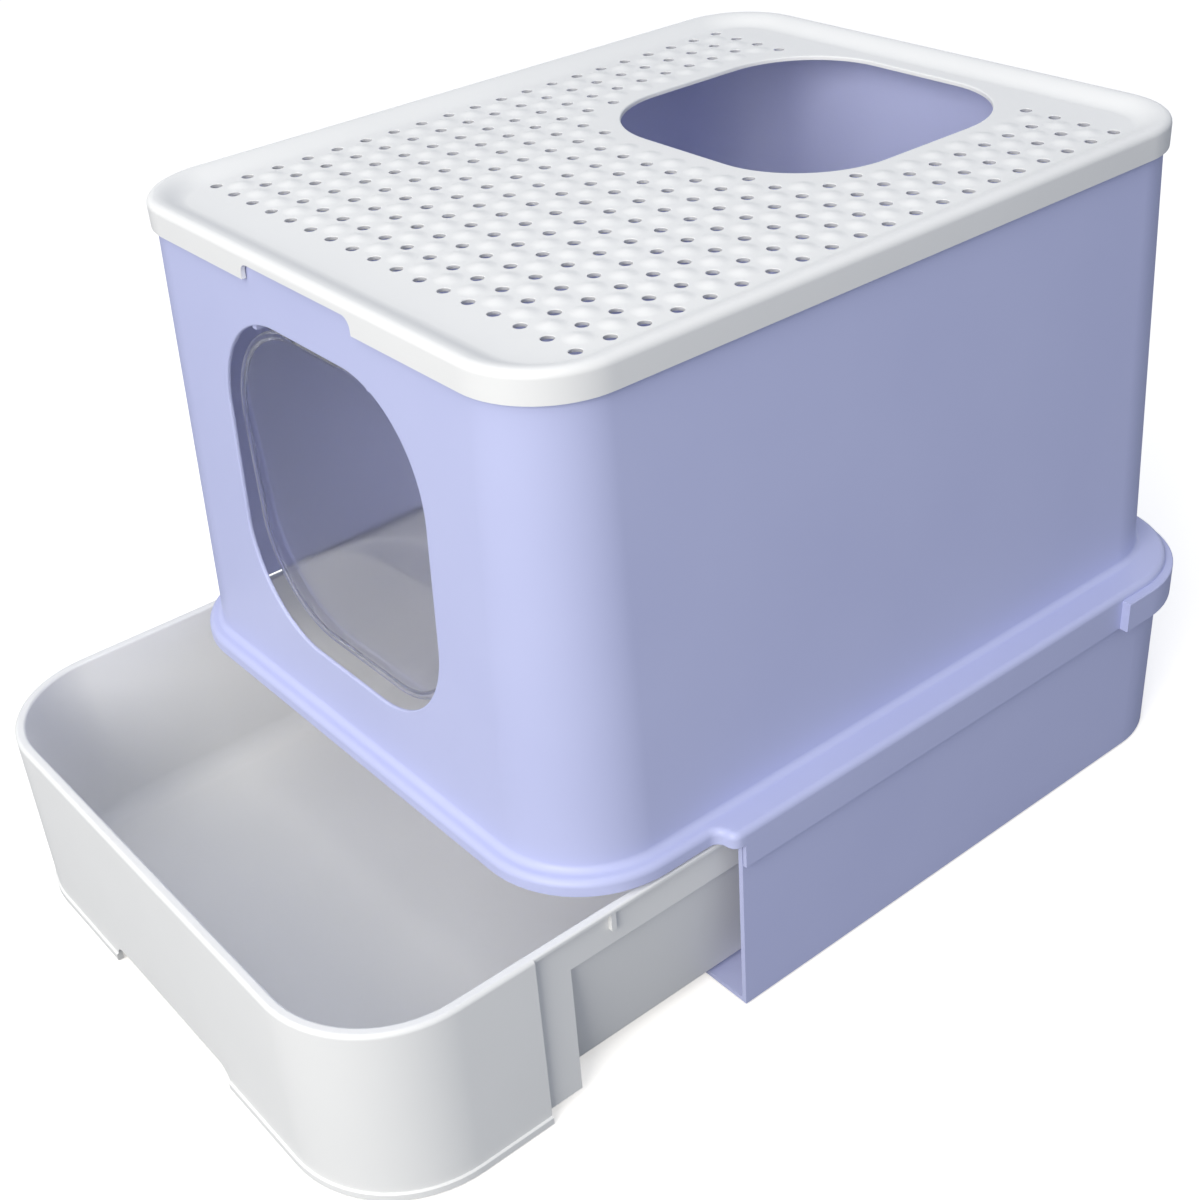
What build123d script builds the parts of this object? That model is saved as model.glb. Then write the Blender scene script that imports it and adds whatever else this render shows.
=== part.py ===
"""Hooded cat litter box: a hood on a base tray, a pull-out litter drawer, a lift-off perforated lid with a top
entry, and a clear flap that swings in the front doorway.

Millimetres, +Z up, front towards -Y. The drawer stands part-way out. The origin is the middle of the footprint,
on the surface that the feet stand on."""

import os
from math import atan, hypot, radians, tan

from build123d import *

os.makedirs("parts", exist_ok=True)

# Fits between pieces
seat_gap = 0.3
base_gap = 0.5
lid_gap = 0.6
rod_fit = 0.05
knuckle_fit = 0.1
ear_play = 0.5

# Hood shell
wall = 2.5
hood_width = 380.0
hood_length = 482.0
hood_rise = 266.0
hood_corner = 54.0
hood_draft = 2.1
ledge_height = 126.0
ledge_width = 9.0
shoulder_radius = 4.0
flange_drop = 9.5
band_drop = 24.5
skirt_setback = 106.0
step_lead = 8.0
side_step = 12.0
lug_length = 85.0
lug_step = 5.5
lug_drop = 4.5

# Doorway and flap
door_width = 186.0
door_head = 36.0
door_corner = 62.0
door_sill = 38.0
flap_gap = 1.0
flap_sill_gap = 1.5
flap_setback = 5.5
flap_head_gap = 2.0
flap_thickness = 2.0
flap_bead_width = 4.0
flap_bead_thickness = 3.6
flap_top_corner = 70.0
flap_bottom_corner = 60.0
knuckle_radius = 2.5
knuckle_length = 30.0
knuckle_reach = 50.5
rod_radius = 1.25
ear_radius = 4.0
ear_rise = 20.0
ear_thickness = 4.0
ear_root = 1.2

# Lid
lid_wall = 2.5
lid_skirt = 16.0
lid_edge_radius = 4.0
lid_rim = 7.5
lid_recess = 6.0
lid_slope_run = 14.0
entry_width = 186.0
entry_length = 186.0
entry_corner = 60.0
entry_rear_margin = 31.0
entry_border = 10.0
hole_pitch = 19.7
hole_radius = 3.4
hole_side_margin = 4.5
hole_end_margin = 26.0
notch_width = 100.0
notch_height = 9.0
notch_corner = 6.0

# Drawer
drawer_side_proud = 0.5
drawer_pull = 127.0
drawer_proud = 5.5
drawer_headroom = 2.0
drawer_rear_gap = 6.0
drawer_wall = 2.5
drawer_floor = 2.5
rim_width = 6.5
lip_out = 3.0
lip_height = 3.0
tray_front_corner = 60.0
tray_rear_corner = 44.0
tray_taper_run = 15.0
tray_floor_radius = 14.0
tray_clearance = 1.0
wrap_clearance = 1.0
wrap_gap = 0.5
wrap_bead_out = 1.2
wrap_bead_height = 5.0
band_height = 25.0
cheek_length = 23.0
arch_width = 130.0
arch_height = 14.0
arch_corner = 10.0
tab_setback = 50.0
tab_width = 3.0
tab_height = 14.0
tab_out = 2.5

# Base tray and feet
base_wall = 3.0
base_floor = 3.0
foot_height = 2.0
foot_socket = 1.0
foot_radius = 12.0
foot_fit = 0.1
foot_inset = 45.0
rail_thickness = 3.0
rail_gusset = 16.0
rail_side_gap = 0.5
rail_end_gap = 1.5

# Places worked out from the sizes
flange_width = hood_width + 2 * ledge_width
flange_length = hood_length + 2 * ledge_width
flange_corner = hood_corner + ledge_width
side_width = flange_width + 2 * side_step
rear_width = side_width + 2 * lug_step
hood_y = (drawer_proud + wrap_bead_out + drawer_pull) / 2
front_y = hood_y - flange_length / 2
rear_y = hood_y + flange_length / 2
skirt_y = front_y + skirt_setback
step_y = skirt_y - step_lead
lug_y = rear_y - lug_length
flange_bottom = ledge_height - flange_drop
band_bottom = ledge_height - band_drop
hood_top = ledge_height + hood_rise

door_bottom = ledge_height + door_sill
door_top = hood_top - door_head
door_height = door_top - door_bottom
axis_z = door_top - flap_head_gap
wall_lean = tan(radians(hood_draft))
wall_front_at_axis = hood_y - hood_length / 2 + (axis_z - ledge_height) * wall_lean
axis_y = wall_front_at_axis + flap_setback
flap_width = door_width - 2 * flap_gap
flap_height = axis_z - door_bottom - flap_sill_gap
ear_inner = knuckle_reach + ear_play
ear_outer = ear_inner + ear_thickness
door_face = Plane((0, axis_y, axis_z), x_dir=(1, 0, 0), z_dir=(0, -1, 0))

lid_top = hood_top + seat_gap + lid_wall
lid_bottom = lid_top - lid_skirt
panel_top = lid_top - lid_recess
hood_lean_in = (lid_bottom - ledge_height) * wall_lean
lid_inner_width = hood_width - 2 * hood_lean_in + 2 * lid_gap
lid_inner_length = hood_length - 2 * hood_lean_in + 2 * lid_gap
lid_inner_corner = hood_corner - hood_lean_in + lid_gap
lid_width = lid_inner_width + 2 * lid_wall
lid_length = lid_inner_length + 2 * lid_wall
lid_corner = lid_inner_corner + lid_wall
slope_spread = lid_wall * tan(atan(lid_recess / lid_slope_run) / 2)
hole_columns = int((lid_width - 2 * lid_rim - 2 * lid_slope_run - 2 * hole_side_margin) / hole_pitch) + 1
hole_rows = int((lid_length - 2 * lid_rim - 2 * lid_slope_run - 2 * hole_end_margin) / hole_pitch) + 1
entry_y = hood_y + lid_length / 2 - entry_rear_margin - entry_length / 2

drawer_width = flange_width + 2 * drawer_side_proud
rim_top = flange_bottom - drawer_headroom
drawer_front = front_y - drawer_proud - drawer_pull
drawer_rear = rear_y - wall - base_gap - base_wall - drawer_rear_gap - drawer_pull
wrap_length = skirt_setback + drawer_proud - wrap_gap
wrap_end = drawer_front + wrap_length
wrap_bottom = wrap_clearance
tray_width = drawer_width - 2 * rim_width
tray_front = drawer_front + rim_width
tray_rear = drawer_rear - drawer_wall
tray_bottom = foot_height + base_floor + tray_clearance
tray_floor = tray_bottom + drawer_floor
runner_bottom = rim_top - band_height
cheek_x = tray_width / 2 + drawer_wall

base_top = ledge_height - wall - seat_gap
floor_top = foot_height + base_floor
base_inset = wall + base_gap
base_side = side_width / 2 - base_inset - base_wall
rail_top = runner_bottom - seat_gap
rail_inner = tray_width / 2 + rail_side_gap
rail_front = skirt_y - wrap_gap + cheek_length + rail_end_gap
rail_rear = rear_y - flange_corner


def tray_outline(sketch, inset):
    """Plan of the tray at its rim, drawn into the open sketch, inset from the tray's inner edge."""
    with Locations((0, (tray_front + tray_rear) / 2)):
        Rectangle(tray_width - 2 * inset, tray_rear - tray_front - 2 * inset)
    fillet(sketch.vertices().group_by(Axis.Y)[0], tray_front_corner - inset)
    fillet(sketch.vertices().group_by(Axis.Y)[-1], tray_rear_corner - inset)


def level_face(piece, level):
    """The largest flat face of a piece that lies level at this height."""
    level_faces = piece.faces().filter_by_position(Axis.Z, level - 0.01, level + 0.01)
    return level_faces.filter_by(GeomType.PLANE).sort_by(SortBy.AREA)[-1]


def clear_of_entry(x, y):
    """True where a perforation centred at x, y stays outside the plain border of the top entry."""
    across = max(abs(x) - entry_width / 2 + entry_corner, 0)
    along = max(abs(y - entry_y) - entry_length / 2 + entry_corner, 0)
    return hypot(across, along) > entry_corner + entry_border


# Plan of the flange, which steps out over the base in an S bend
with BuildSketch() as flange_plan:
    with Locations((0, hood_y)):
        RectangleRounded(flange_width, flange_length, flange_corner)
    with Locations((0, (step_y + rear_y) / 2)):
        Rectangle(side_width, rear_y - step_y)
    fillet(flange_plan.vertices().group_by(Axis.Y)[-1], flange_corner)
    step_bends = flange_plan.vertices().filter_by_position(Axis.Y, step_y - 0.01, step_y + 0.01)
    fillet(step_bends, 0.48 * side_step)

# Hood: drafted shell on a rounded ledge, with a deeper band where it covers the base
with BuildPart() as hood:
    with BuildSketch(Plane.XY.offset(flange_bottom)):
        add(flange_plan.sketch)
    extrude(amount=flange_drop)
    with BuildSketch(Plane.XY.offset(band_bottom)):
        add(flange_plan.sketch)
        with Locations((0, (skirt_y + rear_y) / 2)):
            Rectangle(side_width, rear_y - skirt_y, mode=Mode.INTERSECT)
    extrude(amount=band_drop)
    fillet(hood.edges().group_by(Axis.Z)[-1], shoulder_radius)
    with BuildSketch(Plane.XY.offset(band_bottom)) as lug_plan:
        with Locations((0, (lug_y + rear_y) / 2)):
            Rectangle(rear_width, lug_length)
        fillet(lug_plan.vertices().group_by(Axis.Y)[-1], flange_corner)
    extrude(amount=band_drop - lug_drop)
    with BuildSketch(Plane.XY.offset(ledge_height)):
        with Locations((0, hood_y)):
            RectangleRounded(hood_width, hood_length, hood_corner)
    extrude(amount=hood_rise, taper=hood_draft)
    with BuildSketch(Plane.XY.offset(band_bottom)):
        add(flange_plan.sketch)
        offset(amount=-wall)
    extrude(amount=band_drop - wall, mode=Mode.SUBTRACT)
    with BuildSketch(Plane.XY.offset(ledge_height - wall)):
        with Locations((0, hood_y)):
            RectangleRounded(hood_width - 2 * wall, hood_length - 2 * wall, hood_corner - wall)
    extrude(amount=hood_rise + wall, taper=hood_draft, mode=Mode.SUBTRACT)
    with BuildSketch(door_face):
        with Locations((0, door_bottom + door_height / 2 - axis_z)):
            RectangleRounded(door_width, door_height, door_corner)
    extrude(amount=axis_y - front_y, mode=Mode.SUBTRACT)
    wall_inner_at_axis = wall_front_at_axis + wall
    for side in (-1, 1):
        with BuildSketch(Plane.YZ.offset(side * (ear_inner + ear_thickness / 2))):
            with Locations((axis_y, axis_z)):
                Circle(ear_radius)
            with BuildLine():
                Polyline(
                    (wall_inner_at_axis - ear_root, axis_z),
                    (axis_y + ear_radius, axis_z),
                    (wall_inner_at_axis - ear_root, axis_z + ear_rise),
                    close=True,
                )
            make_face()
        extrude(amount=ear_thickness / 2, both=True)
    with BuildSketch(Plane.YZ):
        with Locations((axis_y, axis_z)):
            Circle(rod_radius + rod_fit)
    extrude(amount=ear_outer, both=True, mode=Mode.SUBTRACT)
hood.part.label = "hood"
export_step(hood.part, "parts/hood.step")

# Rod that the flap turns on, flush with the outer faces of the hood's two ears
with BuildPart() as flap_hinge_rod:
    with BuildSketch(Plane.YZ):
        with Locations((axis_y, axis_z)):
            Circle(rod_radius)
    extrude(amount=ear_outer, both=True)
flap_hinge_rod.part.label = "flap_hinge_rod"
export_step(flap_hinge_rod.part, "parts/flap_hinge_rod.step")

# Clear flap: thin pane inside a thicker bead, with two knuckles at its top
with BuildPart() as flap_door:
    with BuildSketch(door_face) as flap_plan:
        with Locations((0, -flap_height / 2)):
            Rectangle(flap_width, flap_height)
        fillet(flap_plan.vertices().group_by(Axis.Y)[-1], flap_top_corner)
        fillet(flap_plan.vertices().group_by(Axis.Y)[0], flap_bottom_corner)
    extrude(amount=flap_bead_thickness / 2, both=True)
    pane_recess = (flap_bead_thickness - flap_thickness) / 2
    for side in (-1, 1):
        with BuildSketch(door_face.offset(side * flap_thickness / 2)):
            add(flap_plan.sketch_local)
            offset(amount=-flap_bead_width)
        extrude(amount=side * pane_recess, mode=Mode.SUBTRACT)
    with BuildSketch(door_face):
        Rectangle(2 * (knuckle_reach - knuckle_length), 2 * knuckle_radius)
    extrude(amount=flap_bead_thickness, both=True, mode=Mode.SUBTRACT)
    for side in (-1, 1):
        with BuildSketch(Plane.YZ.offset(side * (knuckle_reach - knuckle_length / 2))):
            with Locations((axis_y, axis_z)):
                Circle(knuckle_radius)
        extrude(amount=knuckle_length / 2, both=True)
    with BuildSketch(Plane.YZ):
        with Locations((axis_y, axis_z)):
            Circle(rod_radius + knuckle_fit)
    extrude(amount=knuckle_reach, both=True, mode=Mode.SUBTRACT)
flap_door.part.label = "flap_door"
export_step(flap_door.part, "parts/flap_door.step")

# Lid: skirted rim over the hood's top edge, sunk panel with a grid of litter holes and the top entry
with BuildPart() as lid:
    with BuildSketch(Plane.XY.offset(lid_bottom)):
        with Locations((0, hood_y)):
            RectangleRounded(lid_width, lid_length, lid_corner)
    extrude(amount=lid_skirt)
    fillet(lid.edges().group_by(Axis.Z)[-1], lid_edge_radius)
    with BuildSketch(Plane.XY.offset(lid_bottom)):
        with Locations((0, hood_y)):
            RectangleRounded(lid_inner_width, lid_inner_length, lid_inner_corner)
    extrude(amount=lid_skirt - lid_wall, mode=Mode.SUBTRACT)
    for floor_z, spread, mode in ((panel_top - lid_wall, slope_spread, Mode.ADD), (panel_top, 0, Mode.SUBTRACT)):
        for level, inset in ((floor_z, lid_rim + lid_slope_run), (floor_z + lid_recess, lid_rim)):
            with BuildSketch(Plane.XY.offset(level)):
                with Locations((0, hood_y)):
                    RectangleRounded(
                        lid_width - 2 * inset + 2 * spread,
                        lid_length - 2 * inset + 2 * spread,
                        lid_corner - inset + spread,
                    )
        loft(mode=mode)
    with BuildSketch(Plane.XY.offset(panel_top)):
        with Locations((0, entry_y)):
            RectangleRounded(entry_width, entry_length, entry_corner)
    extrude(amount=-lid_wall, mode=Mode.SUBTRACT)
    with Locations((0, hood_y)):
        grid = GridLocations(hole_pitch, hole_pitch, hole_columns, hole_rows).locations
    holes = [spot for spot in grid if clear_of_entry(spot.position.X, spot.position.Y)]
    with BuildSketch(Plane.XY.offset(panel_top)):
        with Locations(*holes):
            RegularPolygon(hole_radius, 4)
    extrude(amount=-lid_wall, mode=Mode.SUBTRACT)
    with BuildSketch(Plane.XZ.offset(lid_length / 2 - hood_y - lid_wall)) as notch:
        with Locations((0, lid_bottom + notch_height / 2)):
            Rectangle(notch_width, notch_height)
        fillet(notch.vertices().group_by(Axis.Y)[-1], notch_corner)
    extrude(amount=lid_wall, mode=Mode.SUBTRACT)
lid.part.label = "lid"
export_step(lid.part, "parts/lid.step")

# Plan of the drawer's wrap-around front
with BuildSketch() as wrap_plan:
    with Locations((0, (drawer_front + wrap_end) / 2)):
        Rectangle(drawer_width, wrap_length)
    fillet(wrap_plan.vertices().group_by(Axis.Y)[0], tray_front_corner + rim_width)

# Drawer: tapered tray in a double-walled front, with a runner band and a rim lip along both sides
with BuildPart() as drawer:
    with BuildSketch(Plane.XY.offset(wrap_bottom)):
        add(wrap_plan.sketch)
    extrude(amount=rim_top - wrap_bottom)
    with BuildSketch(Plane.XY.offset(wrap_bottom)):
        add(wrap_plan.sketch)
        offset(amount=wrap_bead_out)
        with Locations((0, wrap_end)):
            Rectangle(2 * drawer_width, 2 * wrap_length, align=(Align.CENTER, Align.MAX), mode=Mode.INTERSECT)
    extrude(amount=wrap_bead_height)
    with BuildSketch(Plane.XY.offset(wrap_bottom)):
        add(wrap_plan.sketch)
        offset(amount=-drawer_wall)
    extrude(amount=rim_top - drawer_wall - wrap_bottom, mode=Mode.SUBTRACT)
    with BuildSketch(Plane.XY.offset(runner_bottom)) as runner_plan:
        tray_outline(runner_plan, -drawer_wall)
    extrude(amount=band_height)
    with BuildSketch(Plane.XY.offset(rim_top - lip_height)) as lip_plan:
        tray_outline(lip_plan, -drawer_wall - lip_out)
    extrude(amount=lip_height)
    for side in (-1, 1):
        with BuildSketch(Plane.XY.offset(tray_bottom)):
            with Locations((side * (cheek_x - drawer_wall / 2), wrap_end + cheek_length / 2)):
                Rectangle(drawer_wall, cheek_length)
        extrude(amount=rim_top - tray_bottom)
        with BuildSketch(Plane.XY.offset(rim_top - tab_height)):
            with Locations((side * (cheek_x + tab_out / 2), wrap_end + tab_setback)):
                Rectangle(tab_out, tab_width)
        extrude(amount=tab_height)
    for level, inset in ((tray_bottom, tray_taper_run), (rim_top, 0)):
        with BuildSketch(Plane.XY.offset(level)) as tray_plan:
            tray_outline(tray_plan, inset - drawer_wall)
    loft()
    for level, inset in ((tray_floor, tray_taper_run), (rim_top, 0)):
        with BuildSketch(Plane.XY.offset(level)) as tray_plan:
            tray_outline(tray_plan, inset)
    loft(mode=Mode.SUBTRACT)
    floor_face = level_face(drawer, tray_floor)
    fillet(floor_face.outer_wire().edges(), tray_floor_radius)
    with BuildSketch(Plane.XZ.offset(-drawer_front - 2 * drawer_wall)) as arch:
        Rectangle(arch_width, 2 * arch_height)
        fillet(arch.vertices().group_by(Axis.Y)[-1], arch_corner)
    extrude(amount=3 * drawer_wall, mode=Mode.SUBTRACT)
drawer.part.label = "drawer"
export_step(drawer.part, "parts/drawer.step")

# Base tray: floor, two side walls and a rear wall inside the hood's band, with rails for the drawer's runners
with BuildSketch() as base_plan:
    add(flange_plan.sketch)
    offset(amount=-base_inset)
    with Locations((0, (skirt_y + rear_y) / 2)):
        Rectangle(side_width, rear_y - skirt_y, mode=Mode.INTERSECT)

foot_x = side_width / 2 - foot_inset
foot_front = skirt_y + foot_inset
foot_rear = rear_y - foot_inset
foot_spots = [(x, y) for x in (-foot_x, foot_x) for y in (foot_front, foot_rear)]

with BuildPart() as base_tray:
    with BuildSketch(Plane.XY.offset(foot_height)):
        add(base_plan.sketch)
    extrude(amount=base_top - foot_height)
    with BuildSketch(Plane.XY.offset(floor_top)):
        add(base_plan.sketch)
        offset(amount=-base_wall)
        with Locations((0, skirt_y)):
            Rectangle(2 * base_side, 3 * base_wall)
    extrude(amount=base_top - floor_top, mode=Mode.SUBTRACT)
    with BuildSketch(Plane.XZ.offset(-rail_front)):
        for side in (-1, 1):
            with BuildLine():
                Polyline(
                    (side * rail_inner, rail_top),
                    (side * (base_side + base_wall / 2), rail_top),
                    (side * (base_side + base_wall / 2), rail_top - rail_thickness - rail_gusset),
                    (side * rail_inner, rail_top - rail_thickness),
                    close=True,
                )
            make_face()
    extrude(amount=rail_front - rail_rear)
    with BuildSketch(Plane.XY.offset(foot_height)):
        with Locations(*foot_spots):
            Circle(foot_radius + foot_fit)
    extrude(amount=foot_socket, mode=Mode.SUBTRACT)
base_tray.part.label = "base_tray"
export_step(base_tray.part, "parts/base_tray.step")

# Soft pads seated in the sockets under the base
with BuildPart() as base_feet:
    with BuildSketch():
        with Locations(*foot_spots):
            Circle(foot_radius)
    extrude(amount=foot_height + foot_socket)
base_feet.part.label = "base_feet"
export_step(base_feet.part, "parts/base_feet.step")
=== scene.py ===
"""Hooded cat litter box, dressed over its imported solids: a drafted lavender hood with a doorway, a
perforated white lid with a top entry, a pull-out litter drawer and a clear swing flap.
Metres, +Z up, front towards -Y."""

import math

import bmesh
import bpy
from mathutils import Matrix, Vector
from mathutils.geometry import delaunay_2d_cdt


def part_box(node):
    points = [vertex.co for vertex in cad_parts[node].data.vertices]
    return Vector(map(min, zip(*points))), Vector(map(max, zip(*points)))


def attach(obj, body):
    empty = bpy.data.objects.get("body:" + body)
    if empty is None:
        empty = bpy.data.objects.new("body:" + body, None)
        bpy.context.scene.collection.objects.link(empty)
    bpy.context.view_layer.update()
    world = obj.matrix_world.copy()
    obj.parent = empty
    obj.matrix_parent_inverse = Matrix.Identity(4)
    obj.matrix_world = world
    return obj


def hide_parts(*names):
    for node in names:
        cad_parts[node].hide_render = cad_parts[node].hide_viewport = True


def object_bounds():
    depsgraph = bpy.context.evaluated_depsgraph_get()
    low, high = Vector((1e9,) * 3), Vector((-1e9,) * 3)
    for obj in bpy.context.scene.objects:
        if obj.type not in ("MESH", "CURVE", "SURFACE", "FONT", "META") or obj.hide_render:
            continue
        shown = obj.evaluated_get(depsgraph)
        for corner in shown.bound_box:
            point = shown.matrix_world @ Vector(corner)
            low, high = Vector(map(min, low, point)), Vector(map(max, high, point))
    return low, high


bl_info = {
    "name": "Hooded Litter Box",
    "version": (1, 0, 0),
    "blender": (4, 5, 0),
    "location": "View3D > Sidebar > Litter Box",
    "description": "Builds a hooded cat litter box with its lid, drawer and flap around its solids",
    "category": "Add Mesh",
}

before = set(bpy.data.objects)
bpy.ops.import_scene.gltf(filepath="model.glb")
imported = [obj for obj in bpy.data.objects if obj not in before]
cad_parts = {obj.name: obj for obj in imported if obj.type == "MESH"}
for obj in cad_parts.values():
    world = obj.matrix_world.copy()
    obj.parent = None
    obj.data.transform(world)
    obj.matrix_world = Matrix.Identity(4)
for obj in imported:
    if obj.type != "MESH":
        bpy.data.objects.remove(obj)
CAD_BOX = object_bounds()
HOOD_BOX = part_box("hood")
LID_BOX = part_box("lid")
DRAWER_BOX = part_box("drawer")
FLAP_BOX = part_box("flap_door")
ROD_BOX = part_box("flap_hinge_rod")
# Depth and height of the flap's axis
HINGE = ((ROD_BOX[0] + ROD_BOX[1]) / 2).yz

MM = 0.001
# A length too small to see, for welds and for tests of place
HAIR = 0.02 * MM
SMOOTH_ANGLE = math.radians(32)

# Steps along a corner in plan or round a hole, an opening's corner, a small round, a bend, an edge
ARC_STEPS = 16
FINE_STEPS = 24
SMALL_STEPS = 8
BEND_STEPS = 6
EDGE_STEPS = 5
# Steps round the rod, its bores and the knuckles on it
BARREL_STEPS = 32


def amount(label, about, value, kind="NONE"):
    """A number property with the kind of quantity that it is."""
    return bpy.props.FloatProperty(name=label, description=about, default=value, subtype=kind)


def length(label, about, millimetres):
    """A length property that is written in millimetres and kept in metres."""
    return bpy.props.FloatProperty(
        name=label, description=about, default=millimetres * MM, unit="LENGTH"
    )


def angle(label, about, degrees):
    """An angle property that is written in degrees and kept in radians."""
    return amount(label, about, math.radians(degrees), "ANGLE")


def place(label, about, metres):
    """A property that holds a point."""
    return bpy.props.FloatVectorProperty(
        name=label, description=about, default=metres, subtype="XYZ"
    )


def paint(label, about, code):
    """A colour property that is written as an sRGB hex value."""
    return bpy.props.StringProperty(name=label, description=about, default=code)


class HoodSizes(bpy.types.PropertyGroup):
    """Shell of the hood, its ledge and its doorway."""

    wall: length("Wall", "Thickness of the moulded wall", 2.5)
    rise: length("Rise", "Height of the drafted walls above the ledge", 266)
    lean: angle("Draft", "Lean of each wall", 2.1)
    corner: length("Corner", "Corner radius of the walls at the ledge", 54)
    ledge: length("Ledge", "Width of the ledge round the walls", 9)
    root: length("Ledge root", "Radius where the walls meet the ledge", 4)
    shoulder: length("Shoulder", "Radius along the ledge's outer edge", 4)
    flange: length("Flange", "Height of the flange over the drawer", 9.5)
    band: length("Band", "Height of the band over the base", 24.5)
    setback: length("Setback", "From the hood's front to the front of the band", 106)
    step_lead: length("Step lead", "How far the flange steps out ahead of the band", 8)
    step: length("Step", "How far the flange steps out at each side", 12)
    lug: length("Lug", "How far the rear lugs stand out from the band", 5.5)
    lug_run: length("Lug run", "Length of the rear lugs", 85)
    lug_drop: length("Lug drop", "Drop from the ledge to the top of a lug", 4.5)
    edge: length("Edge break", "Rounding of the shell's free edges", 0.6)
    door_width: length("Doorway width", "Clear width of the doorway", 186)
    door_corner: length("Doorway corner", "Corner radius of the doorway", 62)
    door_sill: length("Doorway sill", "From the ledge to the bottom of the doorway", 38)
    door_head: length("Doorway head", "From the top of the doorway to the top of the walls", 36)
    door_edge: length("Doorway edge", "Rounding round the doorway", 0.9)
    ear: length("Ear", "Radius of the ears that hold the flap's rod", 4)
    ear_wall: length("Ear thickness", "Thickness of each ear", 4)
    ear_rise: length("Ear rise", "Height of an ear's root above the rod", 20)


class LidSizes(bpy.types.PropertyGroup):
    """Lid with a raised rim and a sunk, perforated panel."""

    wall: length("Wall", "Thickness of the moulded wall", 2.5)
    corner: length("Corner", "Corner radius of the lid", 47.83)
    edge: length("Edge", "Rounding along the top edge", 4)
    rim: length("Rim", "Width of the flat rim with its rounded edge", 7.5)
    recess: length("Recess", "How far the panel lies below the rim", 6)
    slope: length("Slope", "Run of the slope from the rim to the panel", 14)
    soft: length("Slope easing", "How far the slope eases into the rim", 3)
    entry: length("Entry", "Width and length of the top entry", 186)
    entry_corner: length("Entry corner", "Corner radius of the top entry", 60)
    entry_rear: length("Entry margin", "From the lid's rear edge to the entry", 31)
    entry_edge: length("Entry edge", "Rounding round the entry", 1)
    border: length("Plain border", "Plain border round the entry", 10)
    pitch: length("Pitch", "Spacing of the litter holes", 19.7)
    hole: length("Hole radius", "Radius of a litter hole", 3.4)
    hole_flare: length("Hole flare", "How much wider a hole is at the panel's underside", 1.2)
    hole_edge: length("Hole edge", "Rounding at the top of a hole", 0.3)
    stud: length("Stud radius", "Radius of the raised studs between the holes", 8.6)
    stud_rise: length("Stud rise", "Height of a stud", 1.5)
    side_margin: length("Side margin", "Least distance from a hole to the panel's side", 4.5)
    end_margin: length("End margin", "Least distance from a hole to the panel's end", 26)
    notch: length("Notch width", "Width of the finger notch in the front skirt", 100)
    notch_rise: length("Notch height", "Height of the finger notch", 9)
    notch_corner: length("Notch corner", "Corner radius of the finger notch", 6)


class DrawerSizes(bpy.types.PropertyGroup):
    """Litter drawer: a tapered tray in a double-walled front."""

    wall: length("Wall", "Thickness of the moulded wall", 2.5)
    rim: length("Rim", "Width of the rim between the tray and the front's outer face", 6.5)
    rim_edge: length("Rim edge", "Rounding along the rim's outer edge", 2.5)
    inner_edge: length("Inner edge", "Rounding along the rim's inner edge", 1.6)
    lip: length("Lip", "How far the rim's lip stands out from the tray's wall", 3)
    lip_height: length("Lip height", "Height of the rim's lip", 3)
    lip_edge: length("Lip edge", "Rounding along the lip's outer edge", 1.2)
    front_corner: length("Front corner", "Corner radius of the tray at the front", 60)
    rear_corner: length("Rear corner", "Corner radius of the tray at the rear", 44)
    taper: length("Taper", "How far the tray's walls lean in from rim to floor", 15)
    floor_radius: length("Floor radius", "Radius where the walls meet the floor", 14)
    floor: length("Floor height", "Height of the tray's floor", 8.5)
    underside: length("Underside", "Height of the tray's underside", 6)
    bead: length("Bead", "How far the bead round the bottom stands out", 1.2)
    bead_height: length("Bead height", "Height of the bead round the bottom", 5)
    wrap: length("Wrap", "How far the front wraps back along each side", 111)
    band: length("Runner band", "Height of the runner band below the rim", 25)
    cheek: length("Cheek", "Length of the plain strip behind the front", 23)
    arch: length("Arch width", "Width of the finger arch", 130)
    arch_top: length("Arch top", "Height of the finger arch above the floor it stands on", 14)
    arch_corner: length("Arch corner", "Corner radius of the finger arch", 10)
    tab_setback: length("Tab setback", "From the end of the front to the stop tab", 50)
    tab_width: length("Tab width", "Width of the stop tab", 3)
    tab_height: length("Tab height", "Height of the stop tab", 14)
    tab_out: length("Tab reach", "How far the stop tab stands out", 2.5)


class FlapSizes(bpy.types.PropertyGroup):
    """Clear flap with a rounded bead, hung on a rod."""

    pane: length("Pane", "Thickness of the pane", 2)
    bead: length("Bead", "Thickness of the bead round the pane", 3.6)
    bead_width: length("Bead width", "Width of the bead", 4)
    top_corner: length("Top corner", "Corner radius at the top", 70)
    bottom_corner: length("Bottom corner", "Corner radius at the bottom", 60)
    knuckle: length("Knuckle", "Radius of a knuckle", 2.5)
    knuckle_run: length("Knuckle run", "Length of a knuckle", 30)
    knuckle_reach: length("Knuckle reach", "From the middle to the outer end of a knuckle", 50.5)
    bore: length("Bore", "Radius of a knuckle's bore", 1.35)


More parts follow.
